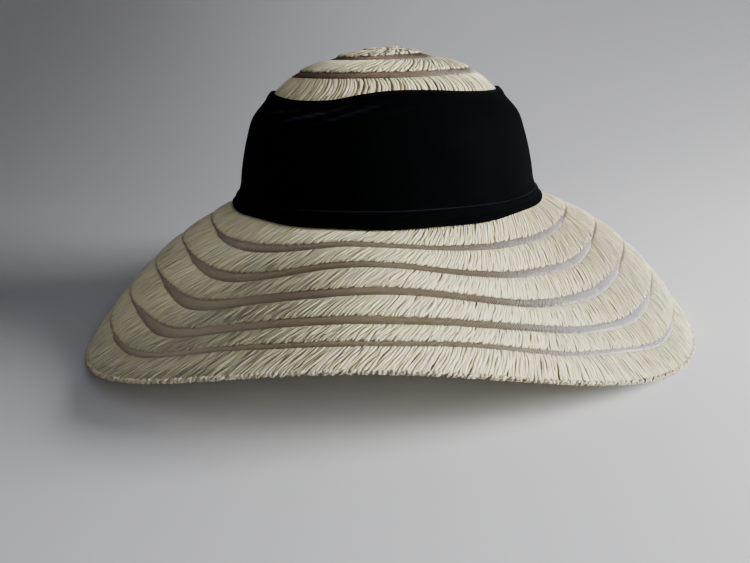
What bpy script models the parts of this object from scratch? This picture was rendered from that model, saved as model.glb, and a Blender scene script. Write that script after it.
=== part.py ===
# A wide-brimmed hat of straw braid rows joined by bands of sheer net, with a velvet band on its crown.
# Metres. X runs across the hat, Y from its front to its back, Z up from the surface that its brim
# rests on. Every piece follows one of two surfaces: the crown's dome or the drooping brim.

import bpy
import bmesh
import numpy as np

# Sizes of the whole
HEAD_HALF_WIDTH = 0.100    # half width of the oval where the brim leaves the crown
HEAD_HALF_DEPTH = 0.092    # its half depth, front to back
HEADLINE_DIP = 0.005       # the oval hangs this much lower at the front and the back
CROWN_HEIGHT = 0.095       # the crown's top above the oval
CROWN_INSET = 0.0045       # the crown's foot stands this far inside the oval
BRIM_REACH = 0.131         # from the oval to the outer edge, along the straw

# Sizes of the pieces
STRAW_WALL = 0.002         # thickness of a braid row
ROW_LIFT = 0.0012          # a row's lower edge stands this proud, like a shingle
ROW_SWELL = 0.75           # share of that lift that the row's middle already has
NET_WIDTH = 0.007          # a sheer band between two rows of the brim
NET_WALL = 0.001
NET_SINK = 0.0005          # the net lies this far below the straw's face
EDGE_THICKNESS = 0.0032    # the knotted braid that ends the brim
REST_FLAT = 0.0008         # how far that braid is worn flat where it rests
VELVET_WALL = 0.0014
LIP_THICKNESS = 0.0032     # the rolled upper edge of the velvet
LIP_HEIGHT = 0.006
HEM_HEIGHT = 0.014         # the fold along the velvet's foot
HEM_THICKNESS = 0.004
HEM_FOOT = 0.003           # the fold's foot lies this far out on the brim
HEM_BELLY = 0.45           # share of the fold's height where it is thickest, and where the band ends
CROWN_FOOT = 0.002         # the crown's wall ends this far below the oval
CLEARANCE = 0.0003         # between two neighbouring pieces

SEGMENTS = 48              # facets round the hat

# The crown's profile from its top to its foot: radius as a share of the foot's, height as a share of
# the crown's.
CROWN_PROFILE = [
    {"radius": 0.000, "height": 1.000},
    {"radius": 0.140, "height": 0.990},
    {"radius": 0.270, "height": 0.957},
    {"radius": 0.360, "height": 0.935},
    {"radius": 0.555, "height": 0.865},
    {"radius": 0.610, "height": 0.838},
    {"radius": 0.750, "height": 0.742},
    {"radius": 0.815, "height": 0.650},
    {"radius": 0.885, "height": 0.555},
    {"radius": 0.925, "height": 0.440},
    {"radius": 0.975, "height": 0.220},
    {"radius": 1.000, "height": 0.000},
]

# The brim's slope below level, in degrees, where it leaves the crown and at its outer edge. The
# angles are counted from the right, round the front. The back mirrors the front.
BRIM_SLOPES = [
    {"side": "right", "angle": 0, "inner": 18, "outer": 63},
    {"side": "right front", "angle": 45, "inner": 44, "outer": 26},
    {"side": "front", "angle": 90, "inner": 12, "outer": 22},
    {"side": "left front", "angle": 135, "inner": 39, "outer": 23},
    {"side": "left", "angle": 180, "inner": 24, "outer": 57.8},
]

# Where the middle of each sheer band of the brim lies, as a share of the brim's reach
BRIM_NETS = [0.140, 0.316, 0.495, 0.676, 0.822]

# Widths of the crown's pieces from its top down, along the dome
BUTTON_REACH = 0.0264      # from the top to the button's edge
BUTTON_SKEW = 0.14         # share of it that the button reaches further at the left, and less at the right
CROWN_NET_1 = 0.0046       # at its narrowest, left of the button
CROWN_ROW_2 = 0.0206
CROWN_NET_2 = 0.0061
CROWN_ROW_3 = 0.0211
VELVET_LAP = 0.0061        # how far the velvet reaches up over the third row
WALL_BENDS = 5             # the hidden wall and the velvet bend over it in this many steps

ROW_2_START = BUTTON_REACH * (1 + BUTTON_SKEW) + CROWN_NET_1
ROW_2_END = ROW_2_START + CROWN_ROW_2
ROW_3_START = ROW_2_END + CROWN_NET_2
ROW_3_END = ROW_3_START + CROWN_ROW_3
VELVET_TOP = ROW_3_END - VELVET_LAP

THETA = np.linspace(0.0, 2.0 * np.pi, SEGMENTS, endpoint=False)


# A smooth curve through the knots, whose slope at each knot is the mean of its neighbours'.
def smooth(knots, values, at):
    slopes = np.gradient(values, knots)
    cell = np.clip(np.searchsorted(knots, at, side="right") - 1, 0, len(knots) - 2)
    width = knots[cell + 1] - knots[cell]
    t = (at - knots[cell]) / width
    start = (1 + 2 * t) * (1 - t) ** 2 * values[cell] + t * (1 - t) ** 2 * width * slopes[cell]
    end = t * t * (3 - 2 * t) * values[cell + 1] + t * t * (t - 1) * width * slopes[cell + 1]
    return start + end


# The outward direction of the head oval, seen from above.
def outward():
    across = np.cos(THETA) / HEAD_HALF_WIDTH
    along = np.sin(THETA) / HEAD_HALF_DEPTH
    length = np.hypot(across, along)
    return across / length, along / length


OUT_X, OUT_Y = outward()
HEADLINE = -HEADLINE_DIP * np.sin(THETA) ** 2

FOOT_HALF_WIDTH = HEAD_HALF_WIDTH - CROWN_INSET
FOOT_HALF_DEPTH = HEAD_HALF_DEPTH - CROWN_INSET
PROFILE_RADIUS = np.array([row["radius"] for row in CROWN_PROFILE])
PROFILE_HEIGHT = np.array([row["height"] for row in CROWN_PROFILE]) * CROWN_HEIGHT
PROFILE_STEPS = np.hypot(np.diff(PROFILE_RADIUS * FOOT_HALF_WIDTH), np.diff(PROFILE_HEIGHT))
PROFILE_ARC = np.concatenate([[0.0], np.cumsum(PROFILE_STEPS)])
FOOT_AT = PROFILE_ARC[-1]                          # the crown's foot, along the dome from its top
WALL_STATIONS = np.linspace(ROW_3_END, FOOT_AT, WALL_BENDS + 1)


# The dome: a distance along it from its top, and a height above its face. Below the foot it runs on
# straight down. The foot follows the dip of the oval, and the top stays level.
def crown_point(distance, lift):
    distance = np.broadcast_to(distance, THETA.shape)
    step = STRAW_WALL
    at = np.clip(distance, 0.0, FOOT_AT)
    before = np.maximum(at - step, 0.0)
    after = np.minimum(at + step, FOOT_AT)
    radius = smooth(PROFILE_ARC, PROFILE_RADIUS, at)
    height = smooth(PROFILE_ARC, PROFILE_HEIGHT, at) - np.maximum(distance - FOOT_AT, 0.0)
    run = smooth(PROFILE_ARC, PROFILE_RADIUS, after) - smooth(PROFILE_ARC, PROFILE_RADIUS, before)
    rise = smooth(PROFILE_ARC, PROFILE_HEIGHT, after) - smooth(PROFILE_ARC, PROFILE_HEIGHT, before)
    run = run * np.hypot(FOOT_HALF_WIDTH * np.cos(THETA), FOOT_HALF_DEPTH * np.sin(THETA))
    rise = np.where(distance <= 0.0, 0.0, rise)
    length = np.hypot(run, rise)
    outwards = -rise / length * lift
    x = radius * FOOT_HALF_WIDTH * np.cos(THETA) + outwards * OUT_X
    y = radius * FOOT_HALF_DEPTH * np.sin(THETA) + outwards * OUT_Y
    z = height + run / length * lift + HEADLINE * (1 - height / CROWN_HEIGHT)
    return np.stack([x, y, z], axis=-1)


# The brim's slopes round the hat: the cosine series that passes through the sections of the table.
def slopes_round(column):
    angles = np.radians([row["angle"] for row in BRIM_SLOPES])
    values = np.radians([row[column] for row in BRIM_SLOPES])
    orders = np.arange(len(BRIM_SLOPES))
    weights = np.linalg.solve(np.cos(np.outer(angles, orders)), values)
    return np.cos(np.outer(THETA, orders)) @ weights


INNER_SLOPE = slopes_round("inner")
BEND = (slopes_round("outer") - INNER_SLOPE) / BRIM_REACH


# The brim: a distance along the straw from the oval, and a height above its face. Each section is
# an arc, whose slope changes evenly from the crown to the edge.
def brim_point(distance, lift):
    half_turn = BEND * distance / 2.0
    chord = distance * np.sinc(half_turn / np.pi)
    slope = INNER_SLOPE + BEND * distance
    run = chord * np.cos(INNER_SLOPE + half_turn) + lift * np.sin(slope)
    drop = chord * np.sin(INNER_SLOPE + half_turn) - lift * np.cos(slope)
    x = HEAD_HALF_WIDTH * np.cos(THETA) + run * OUT_X
    y = HEAD_HALF_DEPTH * np.sin(THETA) + run * OUT_Y
    return np.stack([x, y, HEADLINE - drop], axis=-1)


# The first row starts where its underside meets the crown's wall, and ends at the first sheer band.
FIRST_ROW_START = (CLEARANCE - CROWN_INSET + np.sin(INNER_SLOPE) * STRAW_WALL) / np.cos(INNER_SLOPE)
FIRST_ROW_END = BRIM_NETS[0] * BRIM_REACH - NET_WIDTH / 2.0


# A point just above the first row's face, where the velvet's fold lies on it.
def on_first_row(distance):
    middle = (FIRST_ROW_START + FIRST_ROW_END) / 2.0
    rise = ROW_SWELL * ROW_LIFT * (distance - FIRST_ROW_START) / (middle - FIRST_ROW_START)
    return brim_point(distance, np.maximum(rise, 0.0) + 2.0 * CLEARANCE)


# The knotted braid: a six-sided section with a level underside, just outside the last row.
def edge_section():
    radius = EDGE_THICKNESS / 2.0
    centre = brim_point(BRIM_REACH - radius, ROW_LIFT - STRAW_WALL / 2.0)
    section = []
    for corner in range(6):
        angle = np.radians(60 * corner)
        aside = radius * np.cos(angle)
        above = np.full(SEGMENTS, radius * np.sin(angle))
        section.append(centre + np.stack([aside * OUT_X, aside * OUT_Y, above], axis=-1))
    return section


# The brim's edge sets the frame: it rests on the surface, and its box is centred on the origin.
RIM = np.concatenate(edge_section())
HEADLINE_HEIGHT = -RIM[:, 2].min() - REST_FLAT
MIDDLE_X = (RIM[:, 0].min() + RIM[:, 0].max()) / 2.0


def make_material(name, colour, roughness):
    material = bpy.data.materials.new(name)
    material.use_nodes = True
    shader = material.node_tree.nodes["Principled BSDF"]
    shader.inputs["Base Color"].default_value = (*colour, 1.0)
    shader.inputs["Roughness"].default_value = roughness
    shader.inputs["Metallic"].default_value = 0.0
    return material


# A closed ring lofted through the lines of its section, each a loop of points round the hat.
def make_ring(name, section, material, collection):
    points = np.concatenate(section) + (-MIDDLE_X, 0.0, HEADLINE_HEIGHT)
    points[:, 2] = np.maximum(points[:, 2], 0.0)
    faces = []
    for line in range(len(section)):
        near = line * SEGMENTS
        far = (line + 1) % len(section) * SEGMENTS
        for j in range(SEGMENTS):
            k = (j + 1) % SEGMENTS
            faces.append((near + j, near + k, far + k, far + j))
    mesh = bpy.data.meshes.new(name)
    mesh.from_pydata(points.tolist(), [], faces)
    shape = bmesh.new()
    shape.from_mesh(mesh)
    bmesh.ops.remove_doubles(shape, verts=shape.verts, dist=0.00001)
    bmesh.ops.recalc_face_normals(shape, faces=shape.faces)
    shape.to_mesh(mesh)
    shape.free()
    mesh.materials.append(material)
    mesh.shade_smooth()
    mesh.set_sharp_from_angle(angle=np.radians(35))
    piece = bpy.data.objects.new(name, mesh)
    collection.objects.link(piece)
    return piece


# The section of a braid row: flush at its upper end and proud at its lower end.
def row_section(surface, start, end, lift=ROW_LIFT):
    middle = (start + end) / 2.0
    face = [(start, 0.0), (middle, ROW_SWELL * lift), (end, lift)]
    upper = [surface(along, height) for along, height in face]
    under = [surface(along, height - STRAW_WALL) for along, height in reversed(face)]
    return upper + under


def net_section(surface, start, end):
    ends = [(start, -NET_SINK), (end, -NET_SINK), (end, -NET_SINK - NET_WALL), (start, -NET_SINK - NET_WALL)]
    return [surface(along, height) for along, height in ends]


def make_crown(straw, net, collection):
    button_edge = BUTTON_REACH * (1 - BUTTON_SKEW * np.cos(THETA))
    face = [(0.0, 0.0), (0.35, 0.0), (0.75, 0.5), (1.0, 1.0)]
    upper = [crown_point(button_edge * part, ROW_LIFT * rise) for part, rise in face]
    under = [crown_point(button_edge * part, ROW_LIFT * rise - STRAW_WALL) for part, rise in reversed(face)]
    make_ring("crown_button", upper + under, straw, collection)
    inner_net = net_section(crown_point, button_edge + CLEARANCE, ROW_2_START - CLEARANCE)
    make_ring("crown_net_1", inner_net, net, collection)
    row_2 = row_section(crown_point, ROW_2_START, ROW_2_END)
    make_ring("crown_row_2", row_2, straw, collection)
    outer_net = net_section(crown_point, ROW_2_END + CLEARANCE, ROW_3_START - CLEARANCE)
    make_ring("crown_net_2", outer_net, net, collection)
    row_3 = row_section(crown_point, ROW_3_START, ROW_3_END, lift=0.0)
    make_ring("crown_row_3", row_3, straw, collection)
    bends = [ROW_3_END + CLEARANCE, *WALL_STATIONS[1:], FOOT_AT + CROWN_FOOT]
    outer = [crown_point(bend, 0.0) for bend in bends]
    inner = [crown_point(bend, -STRAW_WALL) for bend in reversed(bends)]
    make_ring("crown_wall", outer + inner, straw, collection)


def make_velvet(velvet, collection):
    inside = CLEARANCE
    outside = CLEARANCE + VELVET_WALL
    lip = VELVET_TOP + LIP_HEIGHT / 2.0
    belly = FOOT_AT - HEM_BELLY * HEM_HEIGHT
    bends = [*WALL_STATIONS[:-1], belly]
    roll = [
        crown_point(VELVET_TOP, inside),
        crown_point(VELVET_TOP, inside + 0.6 * LIP_THICKNESS),
        crown_point(lip, inside + LIP_THICKNESS),
    ]
    face = [crown_point(bend, outside) for bend in bends]
    lining = [crown_point(bend, inside) for bend in reversed(bends)]
    make_ring("velvet_band", roll + face + lining, velvet, collection)
    bed = outside + CLEARANCE
    brow = FOOT_AT - HEM_HEIGHT
    hem = [
        crown_point(brow, bed),
        crown_point(brow, bed + 0.4 * HEM_THICKNESS),
        crown_point(belly, bed + HEM_THICKNESS),
        on_first_row(HEM_FOOT),
        on_first_row(-CROWN_INSET / 2.0),
    ]
    make_ring("velvet_hem", hem, velvet, collection)


def make_brim(straw, net, collection):
    start = FIRST_ROW_START
    for number, share in enumerate(BRIM_NETS, 1):
        middle = share * BRIM_REACH
        end = middle - NET_WIDTH / 2.0
        make_ring(f"brim_row_{number}", row_section(brim_point, start, end), straw, collection)
        start = middle + NET_WIDTH / 2.0
        band = net_section(brim_point, end + CLEARANCE, start - CLEARANCE)
        make_ring(f"brim_net_{number}", band, net, collection)
    end = BRIM_REACH - EDGE_THICKNESS - CLEARANCE
    make_ring(f"brim_row_{len(BRIM_NETS) + 1}", row_section(brim_point, start, end), straw, collection)
    make_ring("edge_braid", edge_section(), straw, collection)


def main():
    for old in list(bpy.data.objects):
        bpy.data.objects.remove(old, do_unlink=True)
    collection = bpy.data.collections.new("brimmed_hat")
    bpy.context.scene.collection.children.link(collection)
    straw = make_material("straw", (0.72, 0.68, 0.52), 0.75)
    net = make_material("net", (0.42, 0.38, 0.33), 0.6)
    velvet = make_material("velvet", (0.012, 0.014, 0.02), 0.9)
    make_crown(straw, net, collection)
    make_velvet(velvet, collection)
    make_brim(straw, net, collection)


main()
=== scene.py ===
# A straw hat of wound braid rows, sheer net and velvet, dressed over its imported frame.
# Metres throughout. X runs across the hat, Y from its front to its back, Z up from the floor.

import bpy
import numpy as np
from mathutils import Matrix, Vector


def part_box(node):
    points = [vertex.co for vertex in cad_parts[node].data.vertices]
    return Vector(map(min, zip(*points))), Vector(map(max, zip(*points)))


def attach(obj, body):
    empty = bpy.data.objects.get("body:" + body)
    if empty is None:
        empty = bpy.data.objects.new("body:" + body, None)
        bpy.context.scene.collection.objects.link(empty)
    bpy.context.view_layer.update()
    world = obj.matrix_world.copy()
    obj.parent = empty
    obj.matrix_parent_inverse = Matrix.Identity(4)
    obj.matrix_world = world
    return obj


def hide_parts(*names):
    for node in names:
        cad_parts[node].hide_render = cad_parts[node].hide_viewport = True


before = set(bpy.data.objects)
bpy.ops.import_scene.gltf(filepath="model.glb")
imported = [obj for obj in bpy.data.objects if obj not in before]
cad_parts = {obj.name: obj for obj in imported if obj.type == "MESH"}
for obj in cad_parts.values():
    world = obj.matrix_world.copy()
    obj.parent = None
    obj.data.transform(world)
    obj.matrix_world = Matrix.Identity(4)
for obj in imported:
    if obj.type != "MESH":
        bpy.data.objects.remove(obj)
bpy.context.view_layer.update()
print("frame loaded,", len(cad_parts), "nodes")


# The form that every piece follows, as the frame has it

hatForm = {
    "headHalfWidth": 0.100,     # half width of the oval where the brim leaves the crown
    "headHalfDepth": 0.092,     # its half depth
    "headlineDip": 0.005,       # the oval hangs lower at the front and the back
    "crownHeight": 0.095,
    "crownInset": 0.0045,       # the crown's foot stands this far inside the oval
    "brimReach": 0.131,         # from the oval to the outer edge, along the straw
    "strawWall": 0.002,
    "rowLift": 0.0012,          # a row's lower edge stands this proud
    "rowSwell": 0.75,           # share of that lift at the row's middle
    "edgeThickness": 0.0022,
}

# radius as a share of the foot's, height as a share of the crown's, from the top down
crownProfile = [
    {"radius": 0.000, "height": 1.000},
    {"radius": 0.140, "height": 0.990},
    {"radius": 0.270, "height": 0.957},
    {"radius": 0.360, "height": 0.935},
    {"radius": 0.555, "height": 0.865},
    {"radius": 0.610, "height": 0.838},
    {"radius": 0.728, "height": 0.742},
    {"radius": 0.808, "height": 0.650},
    {"radius": 0.885, "height": 0.555},
    {"radius": 0.925, "height": 0.440},
    {"radius": 0.975, "height": 0.220},
    {"radius": 1.000, "height": 0.000},
]

# degrees below level at the crown and at the edge, counted from the right round the front
brimSlopes = [
    {"angle": 0, "inner": 18, "outer": 63},
    {"angle": 45, "inner": 44, "outer": 26},
    {"angle": 90, "inner": 12, "outer": 22},
    {"angle": 135, "inner": 39, "outer": 23},
    {"angle": 180, "inner": 24, "outer": 57.8},
]

# the sheer bands: where the middle of each lies, as a share of the brim's reach, and its usual width
brimNets = [
    {"share": 0.140, "width": 0.0050},
    {"share": 0.316, "width": 0.0059},
    {"share": 0.495, "width": 0.0068},
    {"share": 0.676, "width": 0.0063},
    {"share": 0.822, "width": 0.0034},
]

# how they run from the right (0) round the front (90) to the left (180), and likewise round the back:
# their widths as a share of the usual one, and how many millimetres each lies out of its place
bandRun = [
    {"angle": 0, "spread": 0.14, "shifts": (0.0, 0.0, 0.0, 0.0, 0.0)},
    {"angle": 18, "spread": 0.30, "shifts": (1.0, 0.0, -1.0, 1.0, 2.5)},
    {"angle": 35, "spread": 0.75, "shifts": (2.2, 2.7, 1.4, 2.6, 3.6)},
    {"angle": 50, "spread": 0.82, "shifts": (0.7, 0.6, 0.2, -0.6, -2.0)},
    {"angle": 65, "spread": 0.85, "shifts": (1.4, 1.6, 1.9, -1.3, -1.0)},
    {"angle": 80, "spread": 0.85, "shifts": (2.6, 3.0, 3.1, 2.3, -0.2)},
    {"angle": 90, "spread": 0.95, "shifts": (1.4, 0.6, 2.7, 4.0, 2.2)},
    {"angle": 102, "spread": 1.10, "shifts": (-2.0, -1.8, 2.2, 2.4, 1.4)},
    {"angle": 118, "spread": 1.20, "shifts": (0.4, 1.0, -0.3, -0.6, -2.4)},
    {"angle": 138, "spread": 1.20, "shifts": (2.9, 3.4, 3.4, 2.2, 1.9)},
    {"angle": 152, "spread": 0.55, "shifts": (2.8, 1.6, 0.6, -0.8, 0.8)},
    {"angle": 162, "spread": 0.20, "shifts": (1.0, 0.4, 0.0, 0.0, 0.2)},
    {"angle": 180, "spread": 0.14, "shifts": (0.0, 0.0, 0.0, 0.0, 0.0)},
]

# widths of the crown's pieces along the dome
crownRows = {
    "button": 0.0264,
    "buttonSkew": 0.14,         # share that the button reaches further at the left
    "net1": 0.0046,
    "row2": 0.0206,
    "net2": 0.0061,
    "row3": 0.0211,
    "velvetLap": 0.0061,        # how far the velvet reaches up over the third row
}

low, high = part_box("crown_button")
headlineHeight = high.z - hatForm["crownHeight"]
low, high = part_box("crown_wall")
middleX = (low.x + high.x) / 2  # the oval's middle stands this far right of the frame's
footHalfWidth = hatForm["headHalfWidth"] - hatForm["crownInset"]
footHalfDepth = hatForm["headHalfDepth"] - hatForm["crownInset"]


# A smooth curve through knots: on each stretch a cubic whose end slopes are the mean of the neighbours'.
def smoothCurve(knots, values, at):
    slopes = np.gradient(values, knots)
    cell = np.clip(np.searchsorted(knots, at, side="right") - 1, 0, len(knots) - 2)
    width = knots[cell + 1] - knots[cell]
    t = (at - knots[cell]) / width
    start = (1 + 2 * t) * (1 - t) ** 2 * values[cell] + t * (1 - t) ** 2 * width * slopes[cell]
    end = t * t * (3 - 2 * t) * values[cell + 1] + t * t * (t - 1) * width * slopes[cell + 1]
    return start + end


profileRadius = np.array([row["radius"] for row in crownProfile])
profileHeight = np.array([row["height"] for row in crownProfile]) * hatForm["crownHeight"]
profileSteps = np.hypot(np.diff(profileRadius * footHalfWidth), np.diff(profileHeight))
profileArc = np.concatenate([[0.0], np.cumsum(profileSteps)])
footAt = profileArc[-1]         # the crown's foot, along the dome from its top
row2Start = crownRows["button"] * (1 + crownRows["buttonSkew"]) + crownRows["net1"]
row2End = row2Start + crownRows["row2"]
row3Start = row2End + crownRows["net2"]
row3End = row3Start + crownRows["row3"]
velvetTop = row3End - crownRows["velvetLap"]


# The way out from the head oval, seen from above: the oval's normal at the angle theta.
def wayOut(theta):
    across = np.cos(theta) / hatForm["headHalfWidth"]
    along = np.sin(theta) / hatForm["headHalfDepth"]
    length = np.hypot(across, along)
    return across / length, along / length


# The head oval's own height: it hangs by the dip times the square of the sine.
def headline(theta):
    return -hatForm["headlineDip"] * np.sin(theta) ** 2


# The dome: a distance down its profile from the top, turned to theta on an oval, then moved off its
# face by lift, along the normal that the profile's own slope gives.
def crownSurface(theta, distance, lift):
    theta, distance, lift = np.broadcast_arrays(theta, distance, lift)
    at = np.clip(distance, 0, footAt)
    before = np.maximum(at - hatForm["strawWall"], 0)
    after = np.minimum(at + hatForm["strawWall"], footAt)
    radius = smoothCurve(profileArc, profileRadius, at)
    height = smoothCurve(profileArc, profileHeight, at) - np.maximum(distance - footAt, 0)
    run = smoothCurve(profileArc, profileRadius, after) - smoothCurve(profileArc, profileRadius, before)
    rise = smoothCurve(profileArc, profileHeight, after) - smoothCurve(profileArc, profileHeight, before)
    run = run * np.hypot(footHalfWidth * np.cos(theta), footHalfDepth * np.sin(theta))
    rise = np.where(distance <= 0, 0, rise)
    length = np.hypot(run, rise)
    outX, outY = wayOut(theta)
    outwards = -rise / length * lift
    x = radius * footHalfWidth * np.cos(theta) + outwards * outX + middleX
    y = radius * footHalfDepth * np.sin(theta) + outwards * outY
    dip = headline(theta) * (1 - height / hatForm["crownHeight"])
    z = height + run / length * lift + dip + headlineHeight
    return np.stack([x, y, z], axis=-1)


# The brim's slope round the hat: the cosine series through the sections of the table.
def slopeWeights(column):
    angles = np.radians([row["angle"] for row in brimSlopes])
    values = np.radians([row[column] for row in brimSlopes])
    return np.linalg.solve(np.cos(np.outer(angles, np.arange(len(brimSlopes)))), values)


innerWeights = slopeWeights("inner")
outerWeights = slopeWeights("outer")


def slopeAt(theta, weights):
    return sum(weight * np.cos(order * theta) for order, weight in enumerate(weights))


# The brim: a distance out from the oval along an arc whose slope changes evenly to the edge, then
# moved off its face by lift.
def brimSurface(theta, distance, lift):
    theta, distance, lift = np.broadcast_arrays(theta, distance, lift)
    inner = slopeAt(theta, innerWeights)
    bend = (slopeAt(theta, outerWeights) - inner) / hatForm["brimReach"]
    halfTurn = bend * distance / 2
    chord = distance * np.sinc(halfTurn / np.pi)
    slope = inner + bend * distance
    run = chord * np.cos(inner + halfTurn) + lift * np.sin(slope)
    drop = chord * np.sin(inner + halfTurn) - lift * np.cos(slope)
    outX, outY = wayOut(theta)
    x = hatForm["headHalfWidth"] * np.cos(theta) + run * outX + middleX
    y = hatForm["headHalfDepth"] * np.sin(theta) + run * outY
    return np.stack([x, y, headline(theta) - drop + headlineHeight], axis=-1)


# How far round from the right a place is, in degrees, the same at the front and at the back.
def roundFromRight(theta):
    return np.degrees(np.arccos(np.clip(np.cos(theta), -1, 1)))


bandAngles = np.array([row["angle"] for row in bandRun], float)
bandSpreads = np.array([row["spread"] for row in bandRun])


# The upper and lower line of a sheer band: its middle, shifted by the table, less or plus half its width.
def bandLine(number, side):
    shifts = np.array([row["shifts"][number] for row in bandRun]) / 1000
    net = brimNets[number]

    def line(theta):
        at = roundFromRight(theta)
        middle = net["share"] * hatForm["brimReach"] + smoothCurve(bandAngles, shifts, at)
        return middle + side * net["width"] / 2 * smoothCurve(bandAngles, bandSpreads, at)
    return line


netSinking = {
    "depth": 0.0012,
    "from": 0.5,                # share of its usual width at which a net begins to sink
    "over": 0.3,                # how much less of it there is where the net lies deepest
}


# The brim again, for the nets: where a band narrows to nothing its net sinks in between the rows.
def netSurface(theta, distance, lift):
    spread = smoothCurve(bandAngles, bandSpreads, roundFromRight(theta))
    narrow = np.clip((netSinking["from"] - spread) / netSinking["over"], 0, 1)
    return brimSurface(theta, distance, lift - netSinking["depth"] * narrow)


# The camera, as the photograph was taken

photoView = {
    "width": 750,
    "focalPixels": 850,
    "sensorWidth": 36,
    "pitch": 15,                # degrees below level
    "roll": 1.5,
    "distance": 0.584,
    "nearest": 0.01,
    "aimX": -0.0093,
    "aimBelowHeadline": 0.0595,
}


def makeCamera(look):
    pitch, roll = np.radians(look["pitch"]), np.radians(look["roll"])
    right = Vector((1, 0, 0))
    up = Vector((0, np.sin(pitch), np.cos(pitch)))
    back = Vector((0, -np.cos(pitch), np.sin(pitch)))
    imageRight = right * np.cos(roll) - up * np.sin(roll)
    imageUp = right * np.sin(roll) + up * np.cos(roll)
    aim = Vector((look["aimX"], 0, headlineHeight - look["aimBelowHeadline"]))
    place = Matrix((imageRight, imageUp, back)).transposed().to_4x4()
    place.translation = aim + back * look["distance"]
    data = bpy.data.cameras.new("photoCamera")
    data.sensor_width = look["sensorWidth"]
    data.lens = data.sensor_width * look["focalPixels"] / look["width"]
    data.clip_start = look["nearest"]
    camera = bpy.data.objects.new("photoCamera", data)
    bpy.context.scene.collection.objects.link(camera)
    camera.matrix_world = place
    bpy.context.scene.camera = camera


makeCamera(photoView)
print("camera placed")


# Mesh and node helpers

# A mesh object from whole arrays: points, four-cornered faces, one UV pair for each face corner and
# one colour for each point.
def makeMesh(name, points, quads, material, uvs=None, tints=None):
    mesh = bpy.data.meshes.new(name)
    mesh.vertices.add(len(points))
    mesh.vertices.foreach_set("co", np.asarray(points, np.float32).ravel())
    mesh.loops.add(quads.size)
    mesh.loops.foreach_set("vertex_index", quads.astype(np.int32).ravel())
    mesh.polygons.add(len(quads))
    mesh.polygons.foreach_set("loop_start", np.arange(len(quads), dtype=np.int32) * 4)
    mesh.polygons.foreach_set("use_smooth", np.ones(len(quads), bool))
    if uvs is not None:
        layer = mesh.uv_layers.new(name="weave")
        layer.data.foreach_set("uv", np.asarray(uvs, np.float32).ravel())
    if tints is not None:
        layer = mesh.color_attributes.new(name="tint", type="FLOAT_COLOR", domain="POINT")
        layer.data.foreach_set("color", np.asarray(tints, np.float32).ravel())
    mesh.update(calc_edges=True)
    mesh.validate()
    mesh.materials.append(material)
    piece = bpy.data.objects.new(name, mesh)
    bpy.context.scene.collection.objects.link(piece)
    return piece


def addNode(tree, kind, inputs=None, **settings):
    node = tree.nodes.new(kind)
    for key, value in settings.items():
        setattr(node, key, value)
    for key, value in (inputs or {}).items():
        if isinstance(value, bpy.types.NodeSocket):
            tree.links.new(value, node.inputs[key])
        else:
            node.inputs[key].default_value = value
    return node


def blankMaterial(name):
    material = bpy.data.materials.new(name)
    material.use_nodes = True
    return material, material.node_tree, material.node_tree.nodes["Principled BSDF"]


def mixColour(tree, factor, first, second):
    node = addNode(tree, "ShaderNodeMix", data_type="RGBA")
    for socket, value in zip((node.inputs[0], node.inputs[6], node.inputs[7]), (factor, first, second)):
        if isinstance(value, bpy.types.NodeSocket):
            tree.links.new(value, socket)
        else:
            socket.default_value = value
    return node.outputs[2]


# A ramp whose stops are (place, colour) pairs.
def colourRamp(tree, factor, stops):
    node = addNode(tree, "ShaderNodeValToRGB", {"Fac": factor})
    while len(node.color_ramp.elements) < len(stops):
        node.color_ramp.elements.new(0.5)
    for element, (place, colour) in zip(node.color_ramp.elements, stops):
        element.position = place
        element.color = (*colour, 1)
    return node.outputs["Color"]


def math(tree, operation, first, second=0.0, clamp=False):
    node = addNode(tree, "ShaderNodeMath", {0: first, 1: second}, operation=operation, use_clamp=clamp)
    return node.outputs[0]


# Two values in one: the given share of the first, and the rest of the second.
def blendValues(tree, first, second, share):
    return math(tree, "ADD", math(tree, "MULTIPLY", first, share), math(tree, "MULTIPLY", second, 1 - share))


# A value that runs smoothly from 0 at the first place to the most at the second.
def smoothRange(tree, value, first, second, most=1.0):
    limits = {"Value": value, "From Min": first, "From Max": second, "To Max": most}
    return addNode(tree, "ShaderNodeMapRange", limits, interpolation_type="SMOOTHSTEP").outputs["Result"]


def noise(tree, place, scale, detail):
    texture = addNode(tree, "ShaderNodeTexNoise", {"Vector": place, "Scale": scale, "Detail": detail})
    return texture.outputs["Fac"]


def objectPlace(tree):
    return addNode(tree, "ShaderNodeTexCoord").outputs["Object"]


# The first two channels of the tint that the points of a mesh carry.
def tintParts(tree):
    tint = addNode(tree, "ShaderNodeAttribute", attribute_name="tint")
    parts = addNode(tree, "ShaderNodeSeparateColor", {"Color": tint.outputs["Color"]})
    return parts.outputs[0], parts.outputs[1]


def addBump(tree, shader, height, strength, distance):
    bump = addNode(tree, "ShaderNodeBump", {"Strength": strength, "Distance": distance, "Height": height})
    tree.links.new(bump.outputs[0], shader.inputs["Normal"])


fibreLook = {
    "along": 300.0,             # streaks for each metre of a strand
    "across": 9.0,              # and round it
    "detail": 3.0,
    "blotchScale": 55.0,
    "blotchDetail": 2.0,
}


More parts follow.
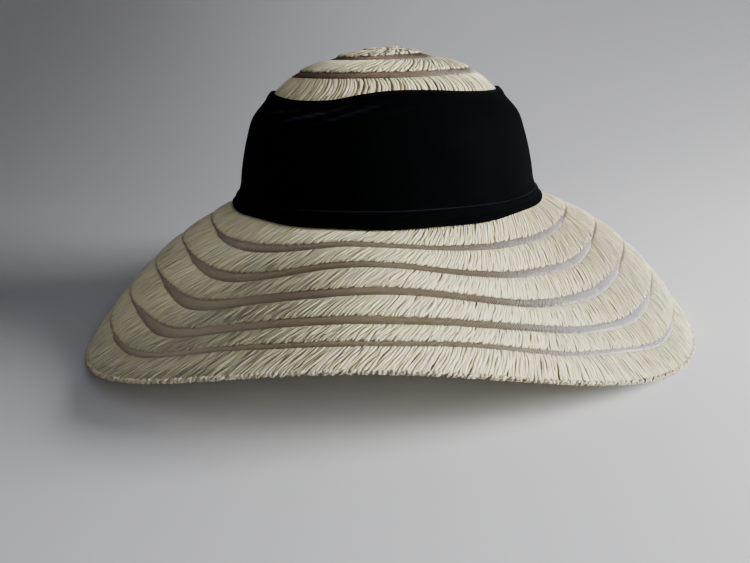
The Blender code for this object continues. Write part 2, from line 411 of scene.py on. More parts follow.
# Fibre streaks that run along a strand: noise whose cells are long in U and narrow in V. The blotches are
# broad noise on the object itself.
def fibreGroup(look):
    group = bpy.data.node_groups.new("fibreStreaks", "ShaderNodeTree")
    for name, value in (("Along", look["along"]), ("Across", look["across"])):
        socket = group.interface.new_socket(name, in_out="INPUT", socket_type="NodeSocketFloat")
        socket.default_value = value
    for name in ("Streak", "Blotch"):
        group.interface.new_socket(name, in_out="OUTPUT", socket_type="NodeSocketFloat")
    inside = addNode(group, "NodeGroupInput")
    outside = addNode(group, "NodeGroupOutput")
    weave = addNode(group, "ShaderNodeUVMap", uv_map="weave").outputs["UV"]
    counts = {"X": inside.outputs["Along"], "Y": inside.outputs["Across"]}
    scale = addNode(group, "ShaderNodeCombineXYZ", counts).outputs[0]
    place = addNode(group, "ShaderNodeVectorMath", {0: weave, 1: scale}, operation="MULTIPLY").outputs[0]
    fine = noise(group, place, 1.0, look["detail"])
    broad = noise(group, objectPlace(group), look["blotchScale"], look["blotchDetail"])
    group.links.new(fine, outside.inputs["Streak"])
    group.links.new(broad, outside.inputs["Blotch"])
    return group


fibreStreaks = fibreGroup(fibreLook)

strawLook = {
    "shadow": (0.47, 0.38, 0.21),   # down in the gaps and at folds
    "shadowShare": 0.75,
    "dull": (0.60, 0.54, 0.31),
    "dullAt": 0.22,
    "pale": (0.88, 0.83, 0.53),
    "paleAt": 0.72,
    "ownTone": 0.65,                # share of the strand's own tone; its fibres give the rest
    "pink": (0.75, 0.645, 0.48),
    "pinkAbove": 0.5,               # blotches over this turn pink
    "green": (0.64, 0.645, 0.46),
    "greenBelow": 0.47,             # blotches under this turn green
    "blotchGain": 3.0,
    "roughness": 0.48,
    "specular": 0.35,
    "sheen": 0.15,
    "bump": 0.8,
    "bumpDistance": 0.0002,
}


def strawMaterial(name, look):
    material, tree, shader = blankMaterial(name)
    fibre = addNode(tree, "ShaderNodeGroup", node_tree=fibreStreaks)
    streak, blotch = fibre.outputs["Streak"], fibre.outputs["Blotch"]
    ownTone, crest = tintParts(tree)
    tone = blendValues(tree, ownTone, streak, look["ownTone"])
    base = colourRamp(tree, tone, [(look["dullAt"], look["dull"]), (look["paleAt"], look["pale"])])
    blush = math(tree, "SUBTRACT", blotch, look["pinkAbove"], clamp=True)
    blush = math(tree, "MULTIPLY", blush, look["blotchGain"], clamp=True)
    base = mixColour(tree, blush, base, (*look["pink"], 1))
    moss = math(tree, "SUBTRACT", look["greenBelow"], blotch, clamp=True)
    moss = math(tree, "MULTIPLY", moss, look["blotchGain"], clamp=True)
    base = mixColour(tree, moss, base, (*look["green"], 1))
    hollow = math(tree, "MULTIPLY", math(tree, "SUBTRACT", 1.0, crest), look["shadowShare"], clamp=True)
    base = mixColour(tree, hollow, base, (*look["shadow"], 1))
    tree.links.new(base, shader.inputs["Base Color"])
    shader.inputs["Roughness"].default_value = look["roughness"]
    shader.inputs["Specular IOR Level"].default_value = look["specular"]
    shader.inputs["Sheen Weight"].default_value = look["sheen"]
    addBump(tree, shader, streak, look["bump"], look["bumpDistance"])
    return material


netLook = {
    "along": 900.0,
    "across": 3.0,
    "thread": (0.140, 0.110, 0.062),
    "threadAt": 0.3,
    "light": (0.235, 0.192, 0.115),
    "lightAt": 0.7,
    "deep": (0.075, 0.055, 0.036),  # near the crown, where less light comes through
    "deepFrom": 0.035,
    "deepTo": 0.085,
    "deepShare": 0.6,
    "worn": (0.46, 0.385, 0.275),   # painted light, paler towards the left
    "wornFrom": -0.03,
    "wornTo": -0.12,
    "paintedSheen": (0.66, 0.63, 0.63),    # painted sheen, paler towards the right where the light falls
    "paintedSheenFrom": 0.035,
    "paintedSheenTo": 0.14,
    "roughness": 0.5,
}


def netMaterial(name, look):
    material, tree, shader = blankMaterial(name)
    counts = {"Along": look["along"], "Across": look["across"]}
    streak = addNode(tree, "ShaderNodeGroup", counts, node_tree=fibreStreaks).outputs["Streak"]
    base = colourRamp(tree, streak, [(look["threadAt"], look["thread"]), (look["lightAt"], look["light"])])
    place = addNode(tree, "ShaderNodeSeparateXYZ", {"Vector": objectPlace(tree)})
    # Mixed in by place: painted shade near the crown, painted light towards the left and a painted sheen
    # towards the right.
    for tone, axis, most in (("deep", "Z", look["deepShare"]), ("worn", "X", 1.0), ("paintedSheen", "X", 1.0)):
        reach = smoothRange(tree, place.outputs[axis], look[tone + "From"], look[tone + "To"], most)
        base = mixColour(tree, reach, base, (*look[tone], 1))
    tree.links.new(base, shader.inputs["Base Color"])
    shader.inputs["Roughness"].default_value = look["roughness"]
    return material


velvetLook = {
    "deep": (0.0005, 0.0007, 0.0009),
    "deepAt": 0.35,
    "worn": (0.0011, 0.0014, 0.0018),
    "wornAt": 0.72,
    "ridge": (0.042, 0.042, 0.070),     # painted highlight, where folds and edges catch the light
    "napScale": 1400.0,
    "napDetail": 2.0,
    "napShare": 0.4,                    # how much of the pattern is nap; the rest drifts broadly
    "driftScale": 38.0,
    "driftDetail": 4.0,
    "sheen": (0.30, 0.32, 0.50, 1),
    "sheenWeight": 0.003,
    "sheenRoughness": 0.35,
    "roughness": 0.9,
    "specular": 0.02,
    "bump": 0.4,
    "bumpDistance": 0.0003,
}


def velvetMaterial(name, look):
    material, tree, shader = blankMaterial(name)
    place = objectPlace(tree)
    nap = noise(tree, place, look["napScale"], look["napDetail"])
    drift = noise(tree, place, look["driftScale"], look["driftDetail"])
    stroke = blendValues(tree, nap, drift, look["napShare"])
    base = colourRamp(tree, stroke, [(look["deepAt"], look["deep"]), (look["wornAt"], look["worn"])])
    # painted highlight: the ridge colour, where the tint marks folds and edges
    paintedHighlight = math(tree, "MULTIPLY", tintParts(tree)[0], stroke)
    base = mixColour(tree, paintedHighlight, base, (*look["ridge"], 1))
    tree.links.new(base, shader.inputs["Base Color"])
    shader.inputs["Roughness"].default_value = look["roughness"]
    shader.inputs["Specular IOR Level"].default_value = look["specular"]
    shader.inputs["Sheen Weight"].default_value = look["sheenWeight"]
    shader.inputs["Sheen Roughness"].default_value = look["sheenRoughness"]
    shader.inputs["Sheen Tint"].default_value = look["sheen"]
    addBump(tree, shader, nap, look["bump"], look["bumpDistance"])
    return material


# The edge's straw: a darker, browner copy of the braid's, painted shade from under the brim's edge.
shadedEdgeLook = {**strawLook, "dull": (0.42, 0.35, 0.23), "pale": (0.70, 0.64, 0.47)}
# The crown's net: a darker, redder copy of the brim's, painted shade for the shadow line under the crown's
# rows. It too is paler towards the left and the right, with painted light and a painted sheen.
crownNetLook = {
    **netLook,
    "thread": (0.085, 0.05, 0.035),
    "light": (0.17, 0.11, 0.075),
    "worn": (0.17, 0.11, 0.075),
    "deepShare": 0.0,
    "paintedSheen": (0.33, 0.29, 0.24),
    "paintedSheenFrom": 0.0,
    "paintedSheenTo": 0.06,
}
straw = strawMaterial("strawBraid", strawLook)
edgeStraw = strawMaterial("strawEdge", shadedEdgeLook)
sheerNet = netMaterial("sheerNet", netLook)
crownNet = netMaterial("sheerCrownNet", crownNetLook)
velvet = velvetMaterial("velvetPile", velvetLook)
print("materials made")


# Wound strands

# The length of the way round the hat along a surface, at a distance that may change on the way.
def wayRound(surface, theta, distance):
    return np.linalg.norm(np.diff(surface(theta, distance, 0.0), axis=0), axis=1).sum()


# A smooth shift along a row: a sum of waves whose lengths, leans and phases are drawn at random. Where it
# stretches the row the strands part in slits, and where it squeezes the row they crowd together.
def drawWaves(randomly, around, look):
    orders = np.round(around / randomly.uniform(*look["waveLengths"], look["waves"]))[:, None]
    leans = randomly.uniform(-look["waveLean"], look["waveLean"], look["waves"])[:, None]
    phases = randomly.uniform(0, 2 * np.pi, look["waves"])[:, None]
    heights = look["stretch"] * around / (2 * np.pi * orders) / np.sqrt(look["waves"] / 2)
    return lambda theta, out: (heights * np.sin(orders * theta + leans * out + phases)).sum(0)


# One strand wound round a flat row until it closes on itself. Its line goes through the row's section
# (an oval of the row's width, flat on both faces) again and again. Each time round the section it
# moves on by the same angle, so it slants one way on the face and the other way underneath. A strand's
# own section is a flat wedge carried along that line, a little turned so that it laps over the next one,
# and random shifts are blended from turn to turn.
def windStrand(surface, start, end, look, seed):
    randomly = np.random.default_rng(seed)
    middle = (start(np.zeros(1))[0] + end(np.zeros(1))[0]) / 2
    probe = np.linspace(0, 2 * np.pi, look["probes"])
    around = wayRound(surface, probe, middle)
    turns = int(round(around / look["pitch"]))
    width = float(np.mean(end(probe) - start(probe)))
    loops = max(1, int(round(2 * width * np.tan(np.radians(look["slant"])) / look["pitch"])))
    while np.gcd(turns, loops) > 1:
        turns += 1
    steps = look["steps"]
    turn = np.repeat(np.arange(turns), steps)
    phase = np.tile((np.arange(steps) + 0.5) / steps, turns)
    angle = np.pi - 2 * np.pi * phase
    cosine, sine = np.cos(angle), np.sin(angle)
    out = (1 - cosine) / 2                                  # 0 at the row's upper edge, 1 at its lower edge
    onFace = sine > 0
    bulge = np.sign(sine) * np.sqrt(np.abs(sine))

    # random values at even places on each turn, the two folds among them, blended along the strand
    def blended(amount, places=look["places"]):
        values = randomly.uniform(-amount, amount, places * turns)
        at = (turn + phase) * places
        cell = np.floor(at).astype(int)
        t = at - cell
        t = t * t * (3 - 2 * t)
        return values[cell % (places * turns)] * (1 - t) + values[(cell + 1) % (places * turns)] * t

    def crinkled():
        return randomly.uniform(-look["crinkle"], look["crinkle"], len(turn))

    curved = out * (1 - look["hook"]) + look["hook"] * out * out * (3 - 2 * out)
    advance = np.where(onFace, (1 - curved) / 2, (1 + curved) / 2)
    theta = 2 * np.pi * loops * (turn + advance) / turns
    firstAt, lastAt = start(theta), end(theta)
    near = look["near"]
    reach = firstAt + out * (lastAt - firstAt)
    perRadian = np.linalg.norm(surface(theta + near, reach, 0.0) - surface(theta, reach, 0.0), axis=1) / near
    spacing = perRadian * 2 * np.pi / turns
    notches = np.cos(np.round(around / look["notchEvery"]) * theta / 2) ** 8
    shift = look["chevron"] * np.sin(np.pi * out) * onFace
    shift = shift + (blended(look["shake"], look["shakePlaces"]) + blended(look["weave"])) * spacing
    theta = theta + (shift + drawWaves(randomly, around, look)(theta, out)) / perRadian
    reach = reach + (look["tooth"] + blended(look["ragged"]) - look["notch"] * notches) * out ** 6
    reach = reach - (look["tooth"] / 2 + blended(look["ragged"])) * (1 - out) ** 6
    thin = look["thickness"]
    half = look["wall"] / 2 - thin / 2
    rise = np.interp(out, [0, 0.5, 1], [0, hatForm["rowSwell"], 1])
    lift = look["lift"] * rise - look["sink"] - look["wall"] / 2
    lift = lift + half * bulge + blended(look["heave"]) * np.sin(np.pi * out)
    lift = lift + crinkled() * np.abs(sine)
    theta = theta + crinkled() / perRadian
    line = surface(theta, reach, lift)

    along = np.roll(line, -1, axis=0) - np.roll(line, 1, axis=0)
    along /= np.linalg.norm(along, axis=1, keepdims=True)
    outNormal = -cosine * 4 / width                         # the section oval's own normal
    liftNormal = 4 * bulge ** 3 / max(half, look["thinnest"])
    size = np.hypot(outNormal, liftNormal)
    outside = surface(theta, reach + outNormal / size * near, lift + liftNormal / size * near) - line
    outside -= (outside * along).sum(1, keepdims=True) * along
    outside /= np.linalg.norm(outside, axis=1, keepdims=True)
    side = np.cross(along, outside)
    lap = np.radians(look["lap"])
    side, outside = side * np.cos(lap) - outside * np.sin(lap), outside * np.cos(lap) + side * np.sin(lap)
    broad = np.full(len(theta), look["thread"])
    if look["cover"]:
        broad = spacing * np.cos(np.radians(look["slant"])) * look["cover"]
    broad = broad * (1 + blended(look["uneven"])) * (1 - look["taper"] * np.abs(cosine) ** 5)

    sides = look["sides"]
    corner = 2 * np.pi * np.arange(sides) / sides + np.pi / 2
    points = (
        line[:, None, :]
        + side[:, None, :] * (broad[:, None] / 2 * np.cos(corner))[:, :, None]
        + outside[:, None, :] * (thin / 2 * np.sin(corner))[None, :, None]
    )
    shape = (len(line), sides)
    tone = 0.5 + blended(0.5)
    crest = look["rim"] + (1 - look["rim"]) * np.maximum(np.sin(corner), 0)
    crest = np.broadcast_to(crest, shape) * (1 - look["foldShade"] * np.abs(cosine[:, None]) ** 8)
    tints = np.stack([np.broadcast_to(tone[:, None], shape), crest,
                      np.broadcast_to(out[:, None], shape), np.ones(shape)], axis=-1)
    quads, uvs = strandFaces(line, sides)
    return points.reshape(-1, 3), quads, uvs, tints.reshape(-1, 4)


# The faces of a closed tube about a line, with U the length along it in metres and V from 0 to 1 round it.
def strandFaces(line, sides):
    count = len(line)
    ringAt, sideAt = np.meshgrid(np.arange(count), np.arange(sides), indexing="ij")
    nextRing, nextSide = (ringAt + 1) % count, (sideAt + 1) % sides
    quads = np.stack([ringAt * sides + sideAt, nextRing * sides + sideAt,
                      nextRing * sides + nextSide, ringAt * sides + nextSide], axis=-1).reshape(-1, 4)
    length = np.concatenate([[0.0], np.cumsum(np.linalg.norm(np.roll(line, -1, axis=0) - line, axis=1))])
    here, onwards = length[ringAt], length[ringAt + 1]
    below, above = sideAt / sides, (sideAt + 1) / sides
    uvs = np.stack([np.stack([here, below], -1), np.stack([onwards, below], -1),
                    np.stack([onwards, above], -1), np.stack([here, above], -1)], axis=2).reshape(-1, 2)
    return quads, uvs


def fixedAt(distance):
    return lambda theta: np.full(np.shape(theta), distance)


def placePiece(piece, slot, *nodes):
    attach(piece, "root")
    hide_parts(*nodes)


# One piece of one or more wound strands, flat where it rests on the floor.
def placeStrands(name, node, strands, slot="straw", material=straw):
    offsets = np.cumsum([0] + [len(strand[0]) for strand in strands[:-1]])
    points, uvs, tints = (np.concatenate([strand[part] for strand in strands]) for part in (0, 2, 3))
    quads = np.concatenate([strand[1] + offset for strand, offset in zip(strands, offsets)])
    points[:, 2] = np.maximum(points[:, 2], 0)
    piece = makeMesh(name, points, quads, material, uvs, tints)
    placePiece(piece, slot, node)
    print(name, "wound,", len(quads) * 2, "triangles")
    return piece


brimBraid = {
    "pitch": 0.0012,            # from one strand to the next along the row
    "slant": 25,                # degrees off the straight way out
    "hook": 0.35,               # how far the strand straightens up towards both edges
    "chevron": 0.0004,          # how far its middle bows to the right
    "steps": 16,
    "sides": 3,
    "wall": hatForm["strawWall"],
    "lift": 0.0007,
    "sink": 0.0,
    "thickness": 0.00038,
    "cover": 2.0,               # the strand's width, in spacings
    "rim": 0.87,                # how light its two rims are beside its crest
    "foldShade": 0.35,          # how much darker it is at its folds
    "taper": 0.20,              # how much narrower it is at its folds
    "tooth": 0.0005,            # how far a fold reaches over the net
    "notch": 0.0011,            # dark notches where the rows' lower edges are caught down
    "notchEvery": 0.0052,
    "ragged": 0.0004,
    "shake": 0.42,              # how unevenly the strands lie, in spacings
    "shakePlaces": 4,
    "places": 8,                # on each turn, where a strand strays or rises afresh
    "weave": 0.28,
    "stretch": 0.115,
    "waves": 14,
    "waveLengths": (0.004, 0.012),
    "waveLean": 2.6,
    "heave": 0.00020,
    "crinkle": 0.00010,
    "uneven": 0.35,
    "lap": 5,                   # degrees that each strand tips over its neighbour
    "thread": 0.0,              # the strand's width in metres, where its cover is 0
    "probes": 721,              # places at which the way round is measured
    "near": 1e-4,               # the short step that finds slopes
    "thinnest": 1e-5,           # least half thickness of a row when its normals are found
}
crownBraid = {
    **brimBraid,
    "pitch": 0.0018,
    "slant": 10,
    "chevron": 0.0020,
    "thickness": 0.0005,
    "cover": 1.8,
    "lift": hatForm["rowLift"],
    "stretch": 0.32,
    "waves": 8,
    "waveLengths": (0.005, 0.010),
    "waveLean": 1.2,
    "rim": 0.72,
}
lastRow = {**brimBraid, "shake": 0.6, "ragged": 0.0010, "hook": 0.2, "taper": 0.1, "notch": 0.0}
underCrown = 0.003              # how far the brim's first row runs in under the crown


# The lines between which each row of the brim lies: from the crown to the first band, then between bands.
def brimRowLines():
    bands = range(len(brimNets))
    starts = [fixedAt(-underCrown)] + [bandLine(number, 1) for number in bands]
    lastLine = fixedAt(hatForm["brimReach"] - hatForm["edgeThickness"] / 2)
    return list(zip(starts, [bandLine(number, -1) for number in bands] + [lastLine]))


for number, (rowStart, rowEnd) in enumerate(brimRowLines(), 1):
    look = lastRow if number == len(brimNets) + 1 else brimBraid
    strand = windStrand(brimSurface, rowStart, rowEnd, look, 100 + number)
    placeStrands(f"brimRow{number}Braid", f"brim_row_{number}", [strand])

crownRow2 = {**crownBraid, "slant": 28, "chevron": 0.0006}
crownRow3 = {**crownBraid, "lift": 0.0, "slant": 2, "chevron": 0.0034}
strand = windStrand(crownSurface, fixedAt(row2Start), fixedAt(row2End), crownRow2, 201)
placeStrands("crownRow2Braid", "crown_row_2", [strand])
strand = windStrand(crownSurface, fixedAt(row3Start), fixedAt(row3End), crownRow3, 202)
placeStrands("crownRow3Braid", "crown_row_3", [strand])

buttonInner = {**crownBraid, "slant": 25, "lift": 0.0009, "chevron": 0.0, "notch": 0.0}
buttonLook = {
    "knotAside": 0.005,         # the knot on top sits this far right of the middle
    "knot": (0.0004, 0.0036),   # where its strands begin and end, out from the top
    "inner": (0.0012, 0.0125),
    "outerFrom": 0.0115,
    "knotBraid": {**buttonInner, "pitch": 0.0012, "lift": 0.0014, "wall": 0.0024, "slant": 40},
    "innerBraid": buttonInner,
    "outerBraid": {**crownBraid, "pitch": 0.0022, "slant": 20, "chevron": 0.0005},
}


def buttonEdge(theta):
    return crownRows["button"] * (1 - crownRows["buttonSkew"] * np.cos(theta))


# The button: a knot and a small ring of strands round the top, and a wider ring whose outer edge is set
# aside.
def makeButton(look):
    def asideSurface(theta, distance, lift):
        return crownSurface(theta, distance, lift) + np.array([look["knotAside"], 0, 0])

    knotStart, knotEnd = [fixedAt(distance) for distance in look["knot"]]
    innerStart, innerEnd = [fixedAt(distance) for distance in look["inner"]]
    return [
        windStrand(asideSurface, knotStart, knotEnd, look["knotBraid"], 300),
        windStrand(crownSurface, innerStart, innerEnd, look["innerBraid"], 301),
        windStrand(crownSurface, fixedAt(look["outerFrom"]), buttonEdge, look["outerBraid"], 302),
    ]


placeStrands("crownButtonBraid", "crown_button", makeButton(buttonLook))

wallRows = {
    "rows": 4,
    "past": 0.002,              # how far the last row runs past the crown's foot
    "braid": {**crownBraid, "pitch": 0.0032, "lift": 0.0, "tooth": 0.0, "notch": 0.0, "steps": 10},
}


# The hidden wall under the velvet, seen only from inside: more rows of the same braid, edge to edge.
def makeWall(look):
    bounds = np.linspace(row3End, footAt + look["past"], look["rows"] + 1)
    return [
        windStrand(crownSurface, fixedAt(above), fixedAt(below), look["braid"], 400 + number)
        for number, (above, below) in enumerate(zip(bounds[:-1], bounds[1:]))
    ]


placeStrands("crownWallBraid", "crown_wall", makeWall(wallRows))

netThread = {
    **brimBraid,
    "pitch": 0.00105,
    "slant": 42,
    "hook": 0.0,
    "chevron": 0.0,
    "steps": 6,
    "wall": 0.00035,
    "lift": 0.0,
    "sink": 0.0001,
    "thickness": 0.00016,
    "cover": 0,
    "thread": 0.00062,
    "rim": 1.0,
    "taper": 0.0,
    "tooth": 0.0,
    "notch": 0.0,
    "ragged": 0.0,
    "shake": 0.2,
    "places": 4,
    "weave": 0.0,
    "stretch": 0.1,
    "crinkle": 0.0,
    "heave": 0.00005,
    "uneven": 0.2,
    "lap": 0,
    "tuck": 0.0012,             # how far the net runs in under both rows
    "turning": 0.0030,          # what its cut strip had on each side of what shows
    "stripProbes": 361,         # places at which the strip is measured
}


# A ring of net from start to end round the hat, run in under both rows. It was cut as a strip as long as
# the way round its middle, and broader than what shows by a turning on each side.
def makeNet(name, node, surface, start, end, seed, material):
    tuck = netThread["tuck"]
    strand = windStrand(surface, lambda theta: start(theta) - tuck, lambda theta: end(theta) + tuck,
                        netThread, seed)
    piece = placeStrands(name, node, [strand], "net", material)
    probe = np.linspace(0, 2 * np.pi, netThread["stripProbes"])
    around = wayRound(surface, probe, (start(probe) + end(probe)) / 2)
    broad = end(probe) - start(probe) + 2 * netThread["turning"]


for number in range(len(brimNets)):
    makeNet(f"brimNet{number + 1}Threads", f"brim_net_{number + 1}", netSurface, bandLine(number, -1),
            bandLine(number, 1), 501 + number, sheerNet)
makeNet("crownNet1Threads", "crown_net_1", crownSurface, buttonEdge, fixedAt(row2Start), 511,
        crownNet)
makeNet("crownNet2Threads", "crown_net_2", crownSurface, fixedAt(row2End), fixedAt(row3Start), 512,
        crownNet)

edgeBinding = {
    **brimBraid,
    "pitch": 0.0024,
    "slant": 24,
    "wall": 0.0024,
    "lift": 0.0006,
    "sink": -0.0006,
    "thickness": 0.0009,
    "cover": 0.9,
    "taper": 0.25,
    "steps": 12,
    "tooth": 0.0,
    "notch": 0.0,
    "ragged": 0.0006,
    "shake": 0.55,
    "heave": 0.0004,
    "width": 0.0024,
}

# the edge: one strand wound as a knotty cord about the brim's outer line
edgeStart, edgeEnd = fixedAt(hatForm["brimReach"] - edgeBinding["width"]), fixedAt(hatForm["brimReach"])
strand = windStrand(brimSurface, edgeStart, edgeEnd, edgeBinding, 601)
placeStrands("edgeKnots", "edge_braid", [strand], "edge", edgeStraw)


# Velvet

velvetBand = {
    "across": 480,              # facets round the crown
    "rollFacets": 14,           # facets down the rolled edge
    "rollShare": 0.12,          # the share of the way down that they take
    "faceFacets": 36,
    "faceFrom": 0.15,
    "inside": 0.0004,
    "wall": 0.0014,
    "edgeRise": 8,              # how steeply the cloth rises to its thickness at the upper edge
    "roll": 0.0020,             # thickness of the rolled upper edge
    "rollHeight": 0.0060,
    "rollCentre": 0.9,
    "rollHalf": 1.1,
    "fold": 0.0005,             # height of its folds
    "flareFrom": 0.013,         # it stands off the crown from this far above the foot
    "flareOver": 0.008,
    "flare": 0.0012,
    "tuck": 0.0012,             # how far it runs in under the hem
    "paintedHighlight": 0.08,               # painted highlight: how much light the rolled edge catches
    "paintedHighlightTo": 0.5,              # down to this share of its height
    "cut": (0.080, 0.600),      # its cloth strip before it was rolled and lapped
}

velvetHem = {
    "across": 480,
    "facets": 20,
    "underFacets": 10,
    "height": 0.0064,           # at the sides
    "frontHeight": 0.0036,      # so much more at the front and the back
    "waver": 0.0002,
    "wavers": 7,                # times round the crown
    "bed": 0.0026,
    "edgeRise": 12,
    "brow": 0.0011,             # the strip's upper edge stands this far off the band
    "thickness": 0.0024,
    "belly": 0.42,
    "bow": 0.22,                # how far it bulges on its way to the foot
    "foot": 0.0024,
    "footWaver": 0.0005,
    "footWavers": 11,
    "footLift": 0.0014,
    "tuck": 0.002,              # how far its cut edge runs in under the crown
    "paintedHighlight": (0.4, 0.4, 0.15),   # painted highlight: how much light its first facets catch
    "cut": (0.0115, 0.610),
}

velvetFold = {
    "count": 16,
    "lean": 60,
    "phase": 0.6,
    "below": 0.17,              # where the folds are deepest, as a share of the way down
    "spread": 0.06,
    "turnedTo": 2.25,
}


# how many millimetres below its usual place the band's upper edge runs, from the right (0) round the
# front (90) to the left (180), and likewise round the back
velvetRun = [
    {"angle": 0, "drop": 1.2},
    {"angle": 30, "drop": 2.2},
    {"angle": 50, "drop": 0.8},
    {"angle": 70, "drop": -1.8},
    {"angle": 90, "drop": -2.2},
    {"angle": 102, "drop": 0.0},
    {"angle": 114, "drop": 3.4},
    {"angle": 135, "drop": 4.6},
    {"angle": 155, "drop": 2.6},
    {"angle": 180, "drop": 0.5},
]


# The band's upper edge rises and falls round the crown as the table says.
def velvetEdge(theta):
    angles = np.array([row["angle"] for row in velvetRun], float)
    drops = np.array([row["drop"] for row in velvetRun]) / 1000
    return velvetTop + smoothCurve(angles, drops, roundFromRight(theta))


# Folds in the velvet, from 0 in the hollows to 1 on the ridges: a few that run slantwise under the rolled
# edge at the left front and fade out below.
def velvetFolds(theta, down, look):
    ridges = np.maximum(np.sin(look["count"] * theta + look["lean"] * down + look["phase"]), 0) ** 2
    slanted = ridges * np.exp(-((down - look["below"]) / look["spread"]) ** 2)
    return slanted * np.clip(np.cos(theta + look["turnedTo"]), 0, 1) ** 8


# Joins the rows of a grid into four-cornered faces. Its rows close on themselves, and its columns do where
# the grid wraps both ways.
def ringQuads(rows, columns, wraps=True):
    i, j = np.meshgrid(np.arange(rows), np.arange(columns if wraps else columns - 1), indexing="ij")
    here, onwards = i * columns, (i + 1) % rows * columns
    nextJ = (j + 1) % columns
    return np.stack([here + j, here + nextJ, onwards + nextJ, onwards + j], axis=-1).reshape(-1, 4)


# The hem's upper edge, higher above the foot at the front and the back than at the sides.
def hemBrow(theta):
    height = velvetHem["height"] + velvetHem["frontHeight"] * np.sin(theta) ** 4
    return footAt - height + velvetHem["waver"] * np.sin(velvetHem["wavers"] * theta)


# A cloth mesh from a grid of points, with the painted highlight of each point as its tint.
def makeCloth(name, points, paintedHighlight):
    tints = np.stack([paintedHighlight, paintedHighlight, paintedHighlight, np.ones_like(paintedHighlight)], axis=-1)
    quads = ringQuads(*points.shape[:2])
    return makeMesh(name, points.reshape(-1, 3), quads, velvet, tints=tints.reshape(-1, 4))


# A closed band: its section runs down the outside from the roll, flares towards the hem, turns under at
# the foot and comes back up the inside, and every point of it is carried round the crown.
def makeVelvetBand(look):
    theta = np.linspace(0, 2 * np.pi, look["across"], endpoint=False)[:, None]
    roll = np.linspace(0, look["rollShare"], look["rollFacets"])
    down = np.concatenate([roll, np.linspace(look["faceFrom"], 1, look["faceFacets"])])[None, :]
    top = velvetEdge(theta)
    reach = top + down * (hemBrow(theta) + look["tuck"] - top)
    inRoll = np.clip((reach - top) / look["rollHeight"], 0, 1)
    bulge = np.sqrt(np.clip(1 - ((2 * inRoll - look["rollCentre"]) / look["rollHalf"]) ** 2, 0, 1))
    flare = np.clip((reach - footAt + look["flareFrom"]) / look["flareOver"], 0, 1)
    folds = velvetFolds(theta, down, velvetFold) * (inRoll >= 1)
    lift = look["inside"] + look["wall"] * np.sqrt(np.clip(inRoll * look["edgeRise"], 0, 1))
    lift = lift + (look["roll"] - look["wall"]) * bulge + look["fold"] * folds
    lift = lift + look["flare"] * flare * flare * (3 - 2 * flare)
    outer = crownSurface(theta, reach, lift)
    inner = crownSurface(theta, reach[:, ::-1], look["inside"])
    # painted highlight on the fold ridges and on the rolled edge's upper part
    outerHighlight = np.maximum(folds, look["paintedHighlight"] * (inRoll < look["paintedHighlightTo"]))
    paintedHighlight = np.concatenate([outerHighlight, np.zeros(inner.shape[:2])], axis=1)
    return makeCloth("velvetBandCloth", np.concatenate([outer, inner], axis=1), paintedHighlight)


# The fold along the foot: a strip lapped over the band, swelling to its belly and tucked in at the foot,
# carried round the crown and let waver a little.
def makeVelvetHem(look):
    theta = np.linspace(0, 2 * np.pi, look["across"], endpoint=False)[:, None]
    down = np.linspace(0, 1, look["facets"])[None, :]
    brow = hemBrow(theta)
    belly = footAt - look["belly"] * (footAt - brow)
    swell = look["brow"] * np.sqrt(np.clip(down * look["edgeRise"], 0, 1))
    swell = swell + (look["thickness"] - look["brow"]) * np.sin(np.pi / 2 * down)
    top = crownSurface(theta, brow + down * (belly - brow), look["bed"] + swell)
    start = top[:, -1:, :]
    footLine = look["foot"] + look["footWaver"] * np.sin(look["footWavers"] * theta)
    end = brimSurface(theta, footLine, look["footLift"])
    tuck = brimSurface(theta, -look["tuck"], look["footLift"])
    turn = np.linspace(0, 1, look["underFacets"])[None, 1:, None]
    middle = (start + end) / 2 + (end - tuck) * look["bow"]
    under = (1 - turn) ** 2 * start + 2 * turn * (1 - turn) * middle + turn ** 2 * end
    inner = crownSurface(theta, brow, look["bed"])
    points = np.concatenate([top, under, tuck, inner], axis=1)
    # painted highlight on the first facets along the hem's upper edge
    paintedHighlight = np.zeros(points.shape[:2])
    paintedHighlight[:, :len(look["paintedHighlight"])] = look["paintedHighlight"]
    return makeCloth("velvetHemCloth", points, paintedHighlight)


band = makeVelvetBand(velvetBand)
placePiece(band, "velvet", "velvet_band")
hem = makeVelvetHem(velvetHem)
placePiece(hem, "velvet", "velvet_hem")
print("velvet made")


# Stage and light

stageLook = {
    "innerRadii": (0.001, 0.25),
    "radius": 2.6,
    "curve": 2.1,               # radius of the sweep from floor to wall
    "height": 5.0,
    "facets": 128,
    "curveFacets": 16,
    "pale": (0.84, 0.85, 0.89),     # towards the light
    "dim": (0.24, 0.245, 0.262),    # painted shade, away from the light
    "dimAt": -0.80,
    "paleAt": 0.35,
    "roughness": 0.9,
    "specular": 0.1,
}


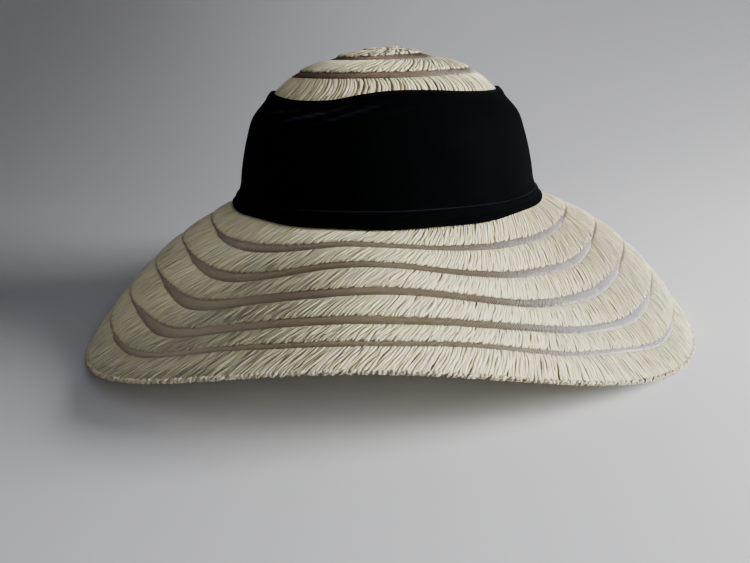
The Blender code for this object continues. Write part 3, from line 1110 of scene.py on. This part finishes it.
# The floor: a disc whose rim sweeps up into a wall all round, a profile turned about the hat.
def makeStage(look):
    turn = np.linspace(0, np.pi / 2, look["curveFacets"])
    sweep = look["radius"] - look["curve"] + look["curve"] * np.sin(turn)
    radius = np.concatenate([look["innerRadii"], sweep, [look["radius"]]])
    height = np.concatenate([[0, 0], look["curve"] * (1 - np.cos(turn)), [look["height"]]])
    theta = np.linspace(0, 2 * np.pi, look["facets"], endpoint=False)[:, None]
    points = np.stack(np.broadcast_arrays(radius * np.cos(theta), radius * np.sin(theta), height), axis=-1)
    quads = ringQuads(*points.shape[:2], wraps=False)
    material, tree, shader = blankMaterial("paleFloor")
    place = addNode(tree, "ShaderNodeSeparateXYZ", {"Vector": objectPlace(tree)})
    # painted shade: the floor darkens towards the left, away from the light
    lit = smoothRange(tree, place.outputs["X"], look["dimAt"], look["paleAt"])
    colour = mixColour(tree, lit, (*look["dim"], 1), (*look["pale"], 1))
    tree.links.new(colour, shader.inputs["Base Color"])
    shader.inputs["Roughness"].default_value = look["roughness"]
    shader.inputs["Specular IOR Level"].default_value = look["specular"]
    floor = makeMesh("paleFloor", points.reshape(-1, 3), quads, material)


makeStage(stageLook)

lights = [
    {
        "name": "windowLight",
        "place": (1.27, -0.36, 0.37),
        "size": 0.8,
        "power": 60,
        "colour": (1.0, 0.985, 0.95),
    },
    {
        "name": "frontFill",
        "place": (0.62, -1.25, 0.85),
        "size": 0.9,
        "power": 7.0,
        "colour": (0.95, 0.96, 1.0),
    },
]
lightsAim = (0, 0, 0.08)
room = {"colour": (0.80, 0.83, 0.90, 1), "strength": 0.03}


def makeLight(look):
    data = bpy.data.lights.new(look["name"], "AREA")
    data.shape = "SQUARE"
    data.size = look["size"]
    data.energy = look["power"]
    data.color = look["colour"]
    light = bpy.data.objects.new(look["name"], data)
    bpy.context.scene.collection.objects.link(light)
    light.location = look["place"]
    light.rotation_euler = (Vector(look["place"]) - Vector(lightsAim)).to_track_quat("Z", "Y").to_euler()


for light in lights:
    makeLight(light)
world = bpy.data.worlds.new("softRoom")
bpy.context.scene.world = world
world.use_nodes = True
world.node_tree.nodes["Background"].inputs["Color"].default_value = room["colour"]
world.node_tree.nodes["Background"].inputs["Strength"].default_value = room["strength"]
print("stage and lights set")
